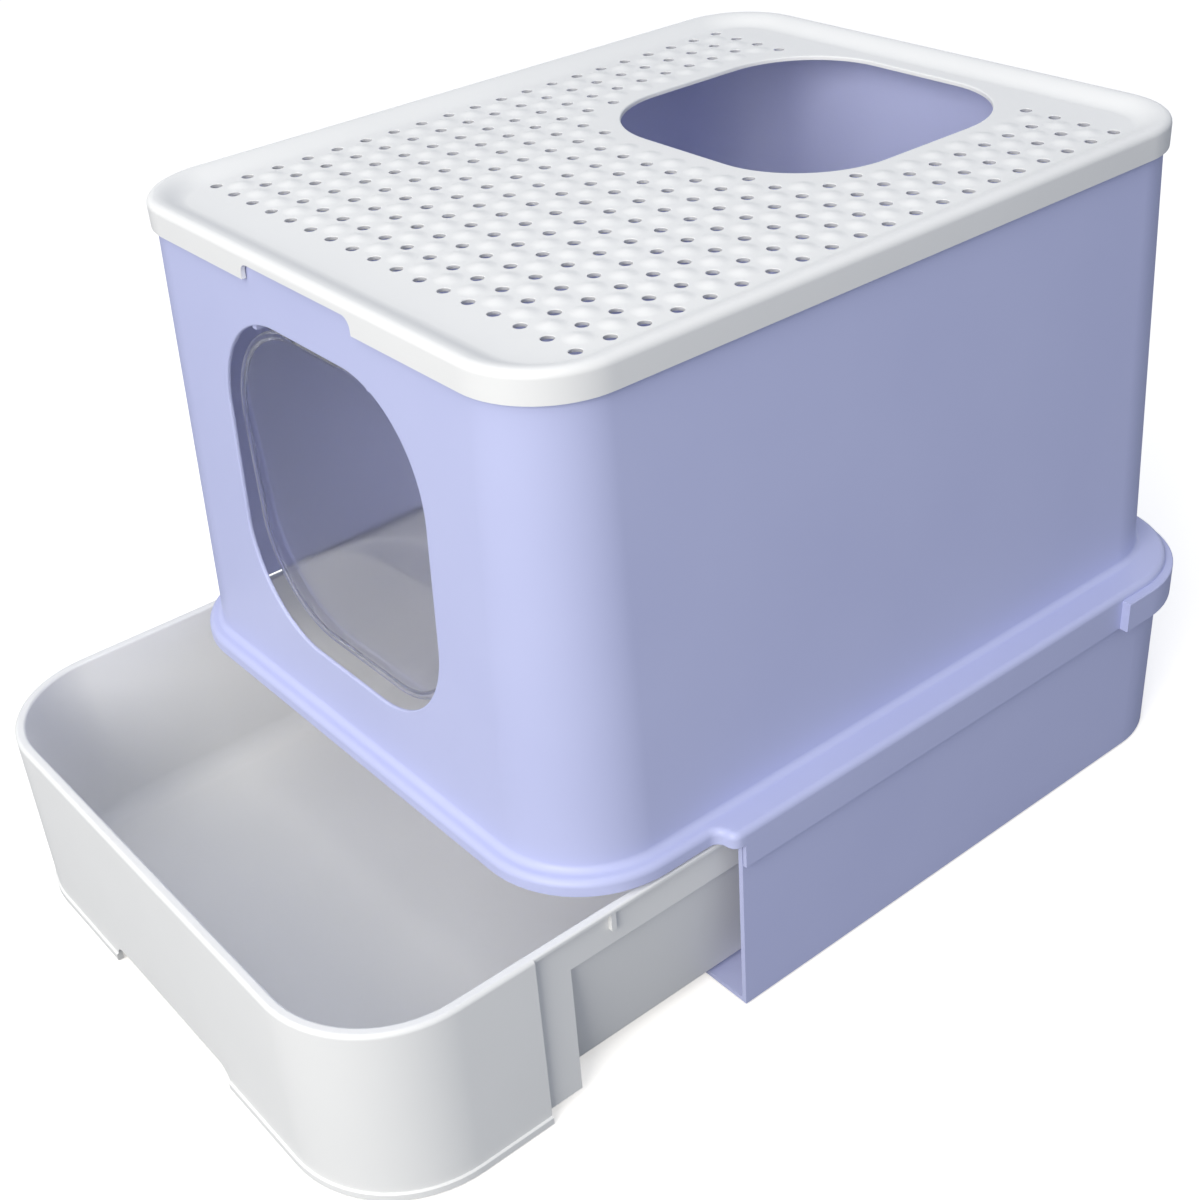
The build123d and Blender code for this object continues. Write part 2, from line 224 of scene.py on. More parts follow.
class Finish(bpy.types.PropertyGroup):
    """Colours of the pieces and the floor, as sRGB hex values."""

    lavender: paint("Lavender", "Hood and base", "#C4C9EC")
    lavender_deep: paint("Lavender, deeper", "Faint flow clouds in the hood and base", "#BDC2E7")
    white: paint("White", "Lid and drawer", "#F0F0EE")
    white_deep: paint("White, deeper", "Faint flow clouds in the lid and drawer", "#EAEAE8")
    clear: paint("Clear", "Flap", "#EDEEF8")
    nylon: paint("Nylon", "Rod of the flap", "#DEDEDC")
    pad: paint("Pad", "Soft feet", "#6C6C70")
    floor: paint("Floor", "Floor of the stage as the camera sees it", "#F6F4F0")
    floor_dull: paint("Floor, as a reflector", "Floor of the stage as it lights the box", "#939599")


class StageSettings(bpy.types.PropertyGroup):
    """Camera, lamps and floor."""

    target: place("Target", "Point at the middle of the picture", (0.0718, -0.0521, 0.19))
    distance: length("Distance", "From the camera to the target", 956.2)
    yaw: angle("Yaw", "Camera's turn round the box", 52.73)
    pitch: angle("Pitch", "Camera's height angle", 32.82)
    roll: angle("Roll", "Camera's tilt to one side", -4.38)
    lens: amount("Lens", "Focal length in millimetres", 52.67, "DISTANCE_CAMERA")
    sensor: amount("Sensor", "Width of the camera's sensor in millimetres", 36, "DISTANCE_CAMERA")
    ambient: amount("Ambient", "Strength of the even light", 0.53)
    ambient_tint: paint("Ambient tint", "Colour of the even light", "#E6EEFF")
    lamp_tint: paint("Lamp tint", "Colour of both lamps", "#FFFCF6")
    key: amount("Key", "Power of the large soft lamp at the front right", 54, "POWER")
    key_place: place("Key place", "Where the lamp at the front right stands", (1.05, -2.35, 1.5))
    key_size: length("Key size", "Side of the lamp at the front right", 1600)
    top: amount("Top", "Power of the soft lamp overhead", 16, "POWER")
    top_place: place("Top place", "Where the lamp overhead hangs", (0.1, -1.1, 2.4))
    top_size: length("Top size", "Side of the lamp overhead", 1800)
    floor_reach: length("Floor reach", "From the middle of the floor to its sides", 6000)
    floor_lift: amount("Floor lift", "Even white that the camera sees on the floor", 0.58)


class LitterBox(bpy.types.PropertyGroup):
    """Everything that a user would change."""

    hood: bpy.props.PointerProperty(type=HoodSizes)
    lid: bpy.props.PointerProperty(type=LidSizes)
    drawer: bpy.props.PointerProperty(type=DrawerSizes)
    flap: bpy.props.PointerProperty(type=FlapSizes)
    finish: bpy.props.PointerProperty(type=Finish)
    stage: bpy.props.PointerProperty(type=StageSettings)


# Outlines: runs of (point, outward normal) in a plane, anticlockwise

def arc(centre, radius, start, end, steps=ARC_STEPS, hollow=False):
    """Run along an arc, with its angles in degrees. A hollow one's outward side is its centre's."""
    run = []
    for i in range(steps + 1):
        turn = math.radians(start + (end - start) * i / steps)
        spoke = Vector((math.cos(turn), math.sin(turn)))
        run.append((Vector(centre) + radius * spoke, -spoke if hollow else spoke))
    return run


def mirrored(run):
    """The same run on the left, in the reverse order."""
    flip = Vector((-1, 1))
    return [(point * flip, normal * flip) for point, normal in reversed(run)]


def closed_outline(right_half):
    """Whole outline from its right half, which runs from the front to the rear."""
    return right_half + mirrored(right_half)


def rounded_block(half_width, low, high, low_radius, high_radius, steps=ARC_STEPS):
    """Outline of a rectangle from low to high with rounded corners."""
    half = arc((half_width - low_radius, low + low_radius), low_radius, -90, 0, steps)
    half += arc((half_width - high_radius, high - high_radius), high_radius, 0, 90, steps)
    return closed_outline(half)


def loop_of(outline, inset=0):
    """Points of an outline, moved inwards by inset."""
    return [point - inset * normal for point, normal in outline]


def disc(centre, radius, steps=ARC_STEPS):
    """Points of a circle in a plane."""
    turns = [2 * math.pi * i / steps for i in range(steps)]
    return [
        Vector((centre.x + radius * math.cos(turn), centre.y + radius * math.sin(turn)))
        for turn in turns
    ]


def level_ring(loop, z):
    """Plane loop laid level at a height."""
    return [Vector((point.x, point.y, z)) for point in loop]


def front_ring(loop, y):
    """Plane loop stood upright at a depth, facing the front."""
    return [Vector((point.x, y, point.y)) for point in loop]


def side_ring(loop, x):
    """Plane loop of depths and heights stood upright, facing the side."""
    return [Vector((x, point.x, point.y)) for point in loop]


def ring(outline, inset, level):
    """Outline moved inwards by inset, at a height that is a number or a function of the point."""
    loop = loop_of(outline, inset)
    if callable(level):
        return [Vector((point.x, point.y, level(point))) for point in loop]
    return level_ring(loop, level)


def quarter(radius, steps=EDGE_STEPS):
    """Run and rise of a rounded edge, from its upright side to its level side."""
    turns = [math.pi / 2 * i / steps for i in range(steps + 1)]
    return [(radius * (1 - math.cos(turn)), radius * math.sin(turn)) for turn in turns]


def swell(share):
    """Smooth fall from 1 to 0, while the share goes from 0 to 1."""
    return 0.5 + 0.5 * math.cos(math.pi * share)


# Meshes

def skin(bm, rings, along=False):
    """Quads between neighbouring closed rings. With along, the last ring joins the first."""
    made = [[bm.verts.new(point) for point in points] for points in rings]
    pairs = list(zip(made, made[1:])) + ([(made[-1], made[0])] if along else [])
    for near, far in pairs:
        for i in range(len(near)):
            j = (i + 1) % len(near)
            bm.faces.new((near[i], near[j], far[j], far[i]))
    return made


def capped_skin(bm, rings):
    """Quads between neighbouring closed rings, with a flat cap at both ends."""
    made = skin(bm, rings)
    bm.faces.new(made[0])
    bm.faces.new(made[-1])


def flat_sheet(bm, outer, openings):
    """Flat triangles between a convex outer ring and the convex rings of the openings in it."""
    points, owners, edges = [], [], []
    for owner, loop in enumerate([outer] + openings):
        first = len(points)
        points += [point.to_2d() for point in loop]
        owners += [owner] * len(loop)
        edges += [(first + i, first + (i + 1) % len(loop)) for i in range(len(loop))]
    found, _, faces, origins, _, _ = delaunay_2d_cdt(points, edges, [], 0, HAIR / 100)
    verts = [bm.verts.new(point) for point in level_ring(found, outer[0].z)]
    for face in faces:
        touched = {owners[origins[i][0]] for i in face}
        # A face that touches one opening only lies inside that opening
        if touched == {0} or len(touched) > 1:
            bm.faces.new([verts[i] for i in face])


def new_piece(name, bm):
    """Mesh object from a bmesh, welded and with its faces turned outwards."""
    bmesh.ops.remove_doubles(bm, verts=bm.verts, dist=HAIR / 10)
    bmesh.ops.recalc_face_normals(bm, faces=bm.faces)
    mesh = bpy.data.meshes.new(name)
    bm.to_mesh(mesh)
    bm.free()
    piece = bpy.data.objects.new(name, mesh)
    bpy.context.scene.collection.objects.link(piece)
    return piece


def prism(name, near, far):
    """Solid between two like loops."""
    bm = bmesh.new()
    capped_skin(bm, [near, far])
    return new_piece(name, bm)


def rod_bore(radius, reach):
    """Cutter for a bore along the flap's axis, which reaches as far to both sides."""
    drill = disc(HINGE, radius, BARREL_STEPS)
    return prism("rod_bore", side_ring(drill, -reach), side_ring(drill, reach))


def block(bm, low, high):
    """Add a box between two corners."""
    corners = [Vector((x, y)) for x, y in (
        (low[0], low[1]), (high[0], low[1]), (high[0], high[1]), (low[0], high[1])
    )]
    capped_skin(bm, [level_ring(corners, z) for z in (low[2], high[2])])


def combine(piece, tool, operation):
    """Unite a tool solid with a piece or cut it away, and drop the tool."""
    change = piece.modifiers.new(operation.lower(), "BOOLEAN")
    change.operation = operation
    change.solver = "EXACT"
    change.object = tool
    bpy.context.view_layer.update()
    graph = bpy.context.evaluated_depsgraph_get()
    mesh = bpy.data.meshes.new_from_object(piece.evaluated_get(graph))
    piece.modifiers.clear()
    if not mesh.polygons:
        raise RuntimeError(f"{piece.name} has no faces left after {tool.name}")
    piece.data = mesh
    bpy.data.objects.remove(tool)


def round_edges(piece, chosen, radius, segments=3):
    """Round the edges of a piece that a test picks by their two ends."""
    bm = bmesh.new()
    bm.from_mesh(piece.data)
    bmesh.ops.remove_doubles(bm, verts=bm.verts, dist=HAIR / 10)
    shared = [edge for edge in bm.edges if edge.is_manifold]
    sharp = [edge for edge in shared if edge.calc_face_angle() > SMOOTH_ANGLE]
    edges = [edge for edge in sharp if all(chosen(vert.co) for vert in edge.verts)]
    if not edges:
        raise RuntimeError(f"{piece.name} has no such edges to round")
    round_profile = 0.5
    bmesh.ops.bevel(
        bm, geom=edges, offset=radius, segments=segments, profile=round_profile, affect="EDGES"
    )
    bm.to_mesh(piece.data)
    bm.free()


def dress(piece, material, body, slot, *nodes):
    """Smooth a piece, give it its finish and let it stand for its solids on their body."""
    piece.data.materials.clear()
    piece.data.materials.append(material)
    piece.data.shade_smooth()
    piece.data.set_sharp_from_angle(angle=SMOOTH_ANGLE)
    weighting = piece.modifiers.new("flat faces stay flat", "WEIGHTED_NORMAL")
    weighting.keep_sharp = True
    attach(piece, body)
    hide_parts(*nodes)


# Materials

def linear(code):
    """Linear colour from an sRGB hex value, by the sRGB standard's curve."""
    shares = [int(code[i:i + 2], 16) / 255 for i in (1, 3, 5)]
    return [s / 12.92 if s <= 0.04045 else ((s + 0.055) / 1.055) ** 2.4 for s in shares] + [1.0]


def add_node(tree, kind, inputs=None, links=None, **settings):
    """Add a node with its settings, its inputs' values and links from other nodes' outputs."""
    node = tree.nodes.new(kind)
    for name, value in settings.items():
        setattr(node, name, value)
    for name, value in (inputs or {}).items():
        node.inputs[name].default_value = value
    for name, source in (links or {}).items():
        tree.links.new(source, node.inputs[name])
    return node


def blank_material(name):
    """Named material with an empty node tree."""
    material = bpy.data.materials.new(name)
    material.use_nodes = True
    material.node_tree.nodes.clear()
    return material, material.node_tree


def moulded_polypropylene(name, colour, deeper, roughness):
    """Injection-moulded polypropylene. The eye sees a soft satin gloss, a skin of fine tool grain,
    and faint clouds where the melt flowed."""
    material, tree = blank_material(name)
    cloud_size, grain_size, polish_size = 90 * MM, 0.9 * MM, 14 * MM
    roughness_spread = 0.05
    # The colour sockets of a Mix node go by number, because their names repeat
    first_colour, second_colour, mixed_colour = 6, 7, 2
    point = add_node(tree, "ShaderNodeTexCoord").outputs["Object"]
    cloud = add_node(
        tree, "ShaderNodeTexNoise", {"Scale": 1 / cloud_size, "Detail": 2.0}, {"Vector": point}
    )
    polish = add_node(
        tree, "ShaderNodeTexNoise", {"Scale": 1 / polish_size, "Detail": 3.0}, {"Vector": point}
    )
    # Real tool grain is about 0.1 mm; it is drawn at 0.9 mm so that it shows
    grain = add_node(
        tree, "ShaderNodeTexNoise", {"Scale": 1 / grain_size, "Detail": 2.0}, {"Vector": point}
    )
    tint = add_node(
        tree, "ShaderNodeMix", {first_colour: linear(colour), second_colour: linear(deeper)},
        {"Factor": cloud.outputs["Fac"]}, data_type="RGBA",
    )
    gloss = add_node(
        tree, "ShaderNodeMapRange",
        {"To Min": roughness - roughness_spread, "To Max": roughness + roughness_spread},
        {"Value": polish.outputs["Fac"]},
    )
    relief = add_node(
        tree, "ShaderNodeBump", {"Strength": 0.06, "Distance": 0.1 * MM},
        {"Height": grain.outputs["Fac"]},
    )
    surface = add_node(
        tree, "ShaderNodeBsdfPrincipled",
        {"IOR": 1.49, "Metallic": 0.0, "Specular IOR Level": 0.4},
        {
            "Base Color": tint.outputs[mixed_colour],
            "Roughness": gloss.outputs["Result"],
            "Normal": relief.outputs["Normal"],
        },
    )
    add_node(tree, "ShaderNodeOutputMaterial", links={"Surface": surface.outputs["BSDF"]})
    return material


def clear_polystyrene(name, colour):
    """Clear moulded polystyrene. The eye sees through the pane, with bright lines along its rounded
    bead and a trace of flow ripple in its shine."""
    material, tree = blank_material(name)
    ripple_size = 22 * MM
    point = add_node(tree, "ShaderNodeTexCoord").outputs["Object"]
    ripple = add_node(
        tree, "ShaderNodeTexNoise", {"Scale": 1 / ripple_size, "Detail": 1.0}, {"Vector": point}
    )
    sheen = add_node(
        tree, "ShaderNodeMapRange", {"To Min": 0.04, "To Max": 0.1}, {"Value": ripple.outputs["Fac"]}
    )
    wave = add_node(
        tree, "ShaderNodeBump", {"Strength": 0.05, "Distance": 0.2 * MM},
        {"Height": ripple.outputs["Fac"]},
    )
    # Part of the view goes straight through, because a thin pane bends it too little to see
    straight_through = 0.2
    surface = add_node(
        tree, "ShaderNodeBsdfPrincipled",
        {
            "Base Color": linear(colour),
            "IOR": 1.59,
            "Metallic": 0.0,
            "Transmission Weight": 1.0,
            "Alpha": 1 - straight_through,
        },
        {"Roughness": sheen.outputs["Result"], "Normal": wave.outputs["Normal"]},
    )
    add_node(tree, "ShaderNodeOutputMaterial", links={"Surface": surface.outputs["BSDF"]})
    return material


def extruded_nylon(name, colour):
    """Extruded nylon rod. The eye sees an even, waxy shine with fine lines drawn along the rod."""
    material, tree = blank_material(name)
    line_size = 0.6 * MM
    stretch = 50
    point = add_node(tree, "ShaderNodeTexCoord").outputs["Object"]
    along = add_node(tree, "ShaderNodeMapping", {"Scale": (1 / stretch, 1.0, 1.0)}, {"Vector": point})
    lines = add_node(
        tree, "ShaderNodeTexNoise", {"Scale": 1 / line_size, "Detail": 1.0},
        {"Vector": along.outputs["Vector"]},
    )
    gloss = add_node(
        tree, "ShaderNodeMapRange", {"To Min": 0.3, "To Max": 0.42}, {"Value": lines.outputs["Fac"]}
    )
    surface = add_node(
        tree, "ShaderNodeBsdfPrincipled",
        {"Base Color": linear(colour), "IOR": 1.53, "Metallic": 0.0},
        {"Roughness": gloss.outputs["Result"]},
    )
    add_node(tree, "ShaderNodeOutputMaterial", links={"Surface": surface.outputs["BSDF"]})
    return material


def moulded_elastomer(name, colour):
    """Soft moulded elastomer. The eye sees a dull, slightly dusty grey."""
    material, tree = blank_material(name)
    dust_size = 2 * MM
    point = add_node(tree, "ShaderNodeTexCoord").outputs["Object"]
    dust = add_node(
        tree, "ShaderNodeTexNoise", {"Scale": 1 / dust_size, "Detail": 3.0}, {"Vector": point}
    )
    gloss = add_node(
        tree, "ShaderNodeMapRange", {"To Min": 0.7, "To Max": 0.9}, {"Value": dust.outputs["Fac"]}
    )
    surface = add_node(
        tree, "ShaderNodeBsdfPrincipled",
        {"Base Color": linear(colour), "IOR": 1.52, "Metallic": 0.0},
        {"Roughness": gloss.outputs["Result"]},
    )
    add_node(tree, "ShaderNodeOutputMaterial", links={"Surface": surface.outputs["BSDF"]})
    return material


def painted_floor(name, colour, dull, lift):
    """Matt painted floor. The eye sees an even white ground with the box's soft shadow on it; the
    light that the floor throws back on the box is that of a mid-grey floor."""
    material, tree = blank_material(name)
    rays = add_node(tree, "ShaderNodeLightPath")
    ground = add_node(tree, "ShaderNodeBsdfDiffuse", {"Color": linear(colour)})
    glow = add_node(tree, "ShaderNodeEmission", {"Color": linear(colour), "Strength": lift})
    seen = add_node(
        tree, "ShaderNodeAddShader", links={0: ground.outputs["BSDF"], 1: glow.outputs["Emission"]}
    )
    bounce = add_node(tree, "ShaderNodeBsdfDiffuse", {"Color": linear(dull)})
    surface = add_node(
        tree, "ShaderNodeMixShader",
        links={
            0: rays.outputs["Is Camera Ray"], 1: bounce.outputs["BSDF"], 2: seen.outputs["Shader"]
        },
    )
    add_node(tree, "ShaderNodeOutputMaterial", links={"Surface": surface.outputs["Shader"]})
    return material


def finish_named(name, make, **details):
    """The material of that name, made the first time that it is asked for."""
    return bpy.data.materials.get(name) or make(name, **details)


def lavender_plastic(finish):
    """Satin lavender moulding of the hood and base."""
    return finish_named(
        "polypropylene_moulded_lavender", moulded_polypropylene,
        colour=finish.lavender, deeper=finish.lavender_deep, roughness=0.42,
    )


def white_plastic(finish):
    """Satin white moulding of the lid and drawer."""
    return finish_named(
        "polypropylene_moulded_white", moulded_polypropylene,
        colour=finish.white, deeper=finish.white_deep, roughness=0.46,
    )


# Hood

def hood_places(sizes):
    """Heights and depths of the hood, from its solid's box."""
    low, high = HOOD_BOX
    ledge = high.z - sizes.rise
    return {
        "front": low.y,
        "rear": high.y,
        "half": high.x - sizes.lug,
        "ledge": ledge,
        "top": high.z,
        "skirt": low.y + sizes.setback,
        "step": low.y + sizes.setback - sizes.step_lead,
        "sill": ledge + sizes.door_sill,
        "head": high.z - sizes.door_head,
    }


def flange_outline(sizes, at):
    """Plan of the flange, which steps out over the base in an S bend."""
    narrow = at["half"] - sizes.step
    corner = sizes.corner + sizes.ledge
    bend = sizes.step / 2
    half = arc((narrow - corner, at["front"] + corner), corner, -90, 0)
    half += arc((narrow + bend, at["step"] - bend), bend, 180, 90, BEND_STEPS, hollow=True)
    # The bend's second arc starts at the end of its first one, so that point is left out
    half += arc((at["half"] - bend, at["step"] + bend), bend, -90, 0, BEND_STEPS)[1:]
    half += [(Vector((at["half"], at["skirt"] + lead)), Vector((1, 0))) for lead in (-HAIR, HAIR)]
    half += arc((at["half"] - corner, at["rear"] - corner), corner, 0, 90)
    return closed_outline(half)


def wall_outline(sizes, at, level, flange):
    """Plan of the drafted walls at a height, with a point for each point of the flange."""
    drawn_in = (level - at["ledge"]) * math.tan(sizes.lean)
    half_width = at["half"] - sizes.step - sizes.ledge - drawn_in
    corner = sizes.corner - drawn_in
    front = at["front"] + sizes.ledge + drawn_in
    rear = at["rear"] - sizes.ledge - drawn_in
    corner_points = ARC_STEPS + 1
    side = [point.y - sizes.shoulder * normal.y for point, normal in flange]
    side = side[corner_points:len(flange) // 2 - corner_points]
    half = arc((half_width - corner, front + corner), corner, -90, 0)
    half += [(Vector((half_width, y)), Vector((1, 0))) for y in side]
    half += arc((half_width - corner, rear - corner), corner, 0, 90)
    return closed_outline(half)


def hood_shell(sizes, at):
    """Walls, ledge and flange as one closed skin."""
    flange = flange_outline(sizes, at)

    def foot(point):
        return at["ledge"] - (sizes.band if point.y > at["skirt"] else sizes.flange)

    def walls(level):
        return wall_outline(sizes, at, level, flange)

    shoulder = at["ledge"] - sizes.shoulder
    rings = [
        ring(flange, sizes.edge, foot),
        ring(flange, 0, lambda point: foot(point) + sizes.edge),
    ]
    rings += [ring(flange, run, shoulder + rise) for run, rise in quarter(sizes.shoulder)]
    for climb, inwards in quarter(sizes.root):
        level = at["ledge"] + climb
        rings.append(ring(walls(level), inwards - sizes.root, level))
    rings += [
        ring(walls(at["top"]), 0, at["top"] - sizes.edge),
        ring(walls(at["top"]), sizes.edge, at["top"]),
        ring(walls(at["top"]), sizes.wall - sizes.edge, at["top"]),
        ring(walls(at["top"]), sizes.wall, at["top"] - sizes.edge),
        ring(walls(at["ledge"]), sizes.wall, at["ledge"]),
        ring(walls(at["ledge"]), sizes.wall, at["ledge"] - sizes.wall),
        ring(flange, sizes.wall, at["ledge"] - sizes.wall),
        ring(flange, sizes.wall, foot),
    ]
    bm = bmesh.new()
    skin(bm, rings, along=True)
    return new_piece("hood_shell", bm)


def rear_lugs(sizes, at):
    """Lugs that thicken the band round both rear corners."""
    corner = sizes.corner + sizes.ledge
    # Degrees round the corner: a lug ends just before the rear face
    turn = 87
    bury = sizes.wall / 2

    def course(half):
        start = (Vector((half, at["rear"] - sizes.lug_run)), Vector((1, 0)))
        return [start] + arc((half - corner, at["rear"] - corner), corner, 0, turn)

    outer = course(at["half"] + sizes.lug)
    inner = loop_of(course(at["half"]), bury)
    top = at["ledge"] - sizes.lug_drop
    bottom = at["ledge"] - sizes.band
    rings = []
    for (face, normal), root in zip(outer, inner):
        eased = face - sizes.edge * normal
        section = (
            (root, bottom), (eased, bottom), (face, bottom + sizes.edge),
            (face, top - sizes.edge), (eased, top), (root, top),
        )
        rings.append([Vector((point.x, point.y, z)) for point, z in section])
    bm = bmesh.new()
    capped_skin(bm, rings)
    whole = bm.verts[:] + bm.edges[:] + bm.faces[:]
    bmesh.ops.mirror(bm, geom=whole, axis="X", merge_dist=-1)
    return new_piece("lugs", bm)


def rod_ears(sizes, at):
    """Two ears behind the doorway's head, which hold the flap's rod."""
    depth, height = HINGE
    outer = ROD_BOX[1].x
    play = 0.05 * MM
    bore = (ROD_BOX[1].z - ROD_BOX[0].z) / 2 + play
    drawn_in = (height - at["ledge"]) * math.tan(sizes.lean)
    in_wall = at["front"] + sizes.ledge + drawn_in + sizes.wall / 2
    profile = [Vector((in_wall, height - sizes.ear))]
    profile += loop_of(arc((depth, height), sizes.ear, -90, 45))
    profile.append(Vector((in_wall, height + sizes.ear_rise)))
    bm = bmesh.new()
    for side in (-1, 1):
        ends = (side * (outer - sizes.ear_wall), side * outer)
        capped_skin(bm, [side_ring(profile, x) for x in ends])
    ears = new_piece("ears", bm)
    combine(ears, rod_bore(bore, outer + sizes.ear_wall), "DIFFERENCE")
    return ears


class LITTERBOX_OT_hood(bpy.types.Operator):
    """Build the drafted hood with its ledge, rear lugs, doorway and rod ears."""

    bl_idname = "litterbox.hood"
    bl_label = "Hood"

    def execute(self, context):
        box = context.scene.litter_box
        sizes = box.hood
        at = hood_places(sizes)
        piece = hood_shell(sizes, at)
        combine(piece, rear_lugs(sizes, at), "UNION")
        doorway = loop_of(rounded_block(
            sizes.door_width / 2, at["sill"], at["head"], sizes.door_corner, sizes.door_corner,
            FINE_STEPS,
        ))
        inside = ROD_BOX[0].y
        cutter = prism("doorway", front_ring(doorway, at["front"]), front_ring(doorway, inside))
        combine(piece, cutter, "DIFFERENCE")

        def on_doorway(point):
            near = min((point.xz - other).length for other in doorway)
            return point.y < inside and near < HAIR

        round_edges(piece, on_doorway, sizes.door_edge)
        combine(piece, rod_ears(sizes, at), "UNION")
        dress(piece, lavender_plastic(box.finish), "box", "lavender_plastic", "hood")
        return {"FINISHED"}


# Lid

def lid_outline(sizes):
    """Plan of the lid, with points along its front for the finger notch."""
    low, high = LID_BOX
    half_notch = sizes.notch / 2
    corner = sizes.notch_corner
    turns = [math.pi / 2 * i / BEND_STEPS for i in range(BEND_STEPS + 1)]
    xs = [half_notch - corner + corner * math.sin(turn) for turn in turns]
    half = [(Vector((x, low.y)), Vector((0, -1))) for x in xs + [half_notch + HAIR]]
    half += arc((high.x - sizes.corner, low.y + sizes.corner), sizes.corner, -90, 0)
    half += arc((high.x - sizes.corner, high.y - sizes.corner), sizes.corner, 0, 90)
    return closed_outline(half)


def skirt_foot(sizes):
    """Function for the height of the skirt's bottom edge, which rises over the finger notch."""
    low = LID_BOX[0]
    corner = sizes.notch_corner
    half_notch = sizes.notch / 2

    def foot(point):
        past = abs(point.x) - (half_notch - corner)
        if point.y > low.y + sizes.wall + HAIR or past > corner + HAIR / 2:
            return low.z
        drop = corner - math.sqrt(max(corner ** 2 - max(past, 0) ** 2, 0))
        return low.z + sizes.notch_rise - drop

    return foot


def lid_spots(sizes):
    """Centres of the litter holes and of the studs between them."""
    low, high = LID_BOX
    middle = (low.y + high.y) / 2
    entry_y = high.y - sizes.entry_rear - sizes.entry / 2
    inset = sizes.rim + sizes.slope
    columns = int((high.x - low.x - 2 * inset - 2 * sizes.side_margin) / sizes.pitch) + 1
    rows = int((high.y - low.y - 2 * inset - 2 * sizes.end_margin) / sizes.pitch) + 1

    def grid(wide, deep):
        xs = [(i - (wide - 1) / 2) * sizes.pitch for i in range(wide)]
        ys = [middle + (j - (deep - 1) / 2) * sizes.pitch for j in range(deep)]
        return [Vector((x, y)) for x in xs for y in ys]

    def clear_of_entry(spot):
        across = max(abs(spot.x) - sizes.entry / 2 + sizes.entry_corner, 0)
        along = max(abs(spot.y - entry_y) - sizes.entry / 2 + sizes.entry_corner, 0)
        return math.hypot(across, along) > sizes.entry_corner + sizes.border

    holes = [spot for spot in grid(columns, rows) if clear_of_entry(spot)]
    studs = [spot for spot in grid(columns - 1, rows - 1) if clear_of_entry(spot)]
    return holes, studs


def lid_shell(bm, sizes, panel, under):
    """Skirt, rounded top edge, rim and slope. Gives the panel's edge, above and below."""
    top = LID_BOX[1].z
    outline = lid_outline(sizes)
    foot = skirt_foot(sizes)
    slope_steps = 12
    upper = [ring(outline, sizes.wall, foot), ring(outline, 0, foot)]
    upper += [ring(outline, run, top - sizes.edge + rise) for run, rise in quarter(sizes.edge)]
    for i in range(slope_steps + 1):
        share = i / slope_steps
        inset = sizes.rim - sizes.soft + share * (sizes.slope + sizes.soft)
        upper.append(ring(outline, inset, panel + sizes.recess * swell(share)))
    skin(bm, upper)
    # The bends on the underside lie further out, so that the slope keeps the wall's thickness
    shift = sizes.wall * math.tan(math.atan(sizes.recess / sizes.slope) / 2)
    lower = [
        ring(outline, sizes.wall, foot),
        ring(outline, sizes.wall, top - sizes.wall),
        ring(outline, sizes.rim - shift, top - sizes.wall),
        ring(outline, sizes.rim + sizes.slope - shift, under),
    ]
    skin(bm, lower)
    return upper[-1], lower[-1]


def top_entry(bm, sizes, panel, under):
    """Rounded edge of the top entry. Gives its ring, above and below."""
    end = LID_BOX[1].y - sizes.entry_rear
    corner = sizes.entry_corner
    entry = rounded_block(sizes.entry / 2, end - sizes.entry, end, corner, corner)
    edge = sizes.entry_edge
    rings = [ring(entry, -run, panel - edge + rise) for run, rise in reversed(quarter(edge))]
    rings.append(ring(entry, 0, under))
    skin(bm, rings)
    return rings[0], rings[-1]


def litter_hole(bm, sizes, spot, panel, under):
    """Round hole with an eased brink, wider below. Gives its ring, above and below."""
    edge = sizes.hole_edge
    edge_steps = 3
    rings = [
        level_ring(disc(spot, sizes.hole + run), panel - edge + rise)
        for run, rise in reversed(quarter(edge, edge_steps))
    ]
    rings.append(level_ring(disc(spot, sizes.hole + sizes.hole_flare), under))
    skin(bm, rings)
    return rings[0], rings[-1]


def raised_stud(bm, sizes, spot, panel):
    """Low round stud. Gives the ring of its foot."""
    rings = []
    for i in range(SMALL_STEPS):
        share = 1 - i / SMALL_STEPS
        height = panel + sizes.stud_rise * swell(share)
        rings.append(level_ring(disc(spot, sizes.stud * share), height))
    last = skin(bm, rings)[-1]
    crown = bm.verts.new((spot.x, spot.y, panel + sizes.stud_rise))
    for i in range(len(last)):
        bm.faces.new((last[i - 1], last[i], crown))
    return rings[0]


class LITTERBOX_OT_lid(bpy.types.Operator):
    """Build the lid: skirt, raised rim, sunk panel with round holes and studs, and the top entry."""

    bl_idname = "litterbox.lid"
    bl_label = "Lid"

    def execute(self, context):
        box = context.scene.litter_box
        sizes = box.lid
        panel = LID_BOX[1].z - sizes.recess
        under = panel - sizes.wall
        hole_spots, stud_spots = lid_spots(sizes)
        bm = bmesh.new()
        edge_above, edge_below = lid_shell(bm, sizes, panel, under)
        entry_above, entry_below = top_entry(bm, sizes, panel, under)
        holes = [litter_hole(bm, sizes, spot, panel, under) for spot in hole_spots]
        feet = [raised_stud(bm, sizes, spot, panel) for spot in stud_spots]
        flat_sheet(bm, edge_above, [entry_above] + [above for above, _ in holes] + feet)
        flat_sheet(bm, edge_below, [entry_below] + [below for _, below in holes])
        piece = new_piece("lid_panel", bm)
        dress(piece, white_plastic(box.finish), "lid", "white_plastic", "lid")
        return {"FINISHED"}


# Drawer

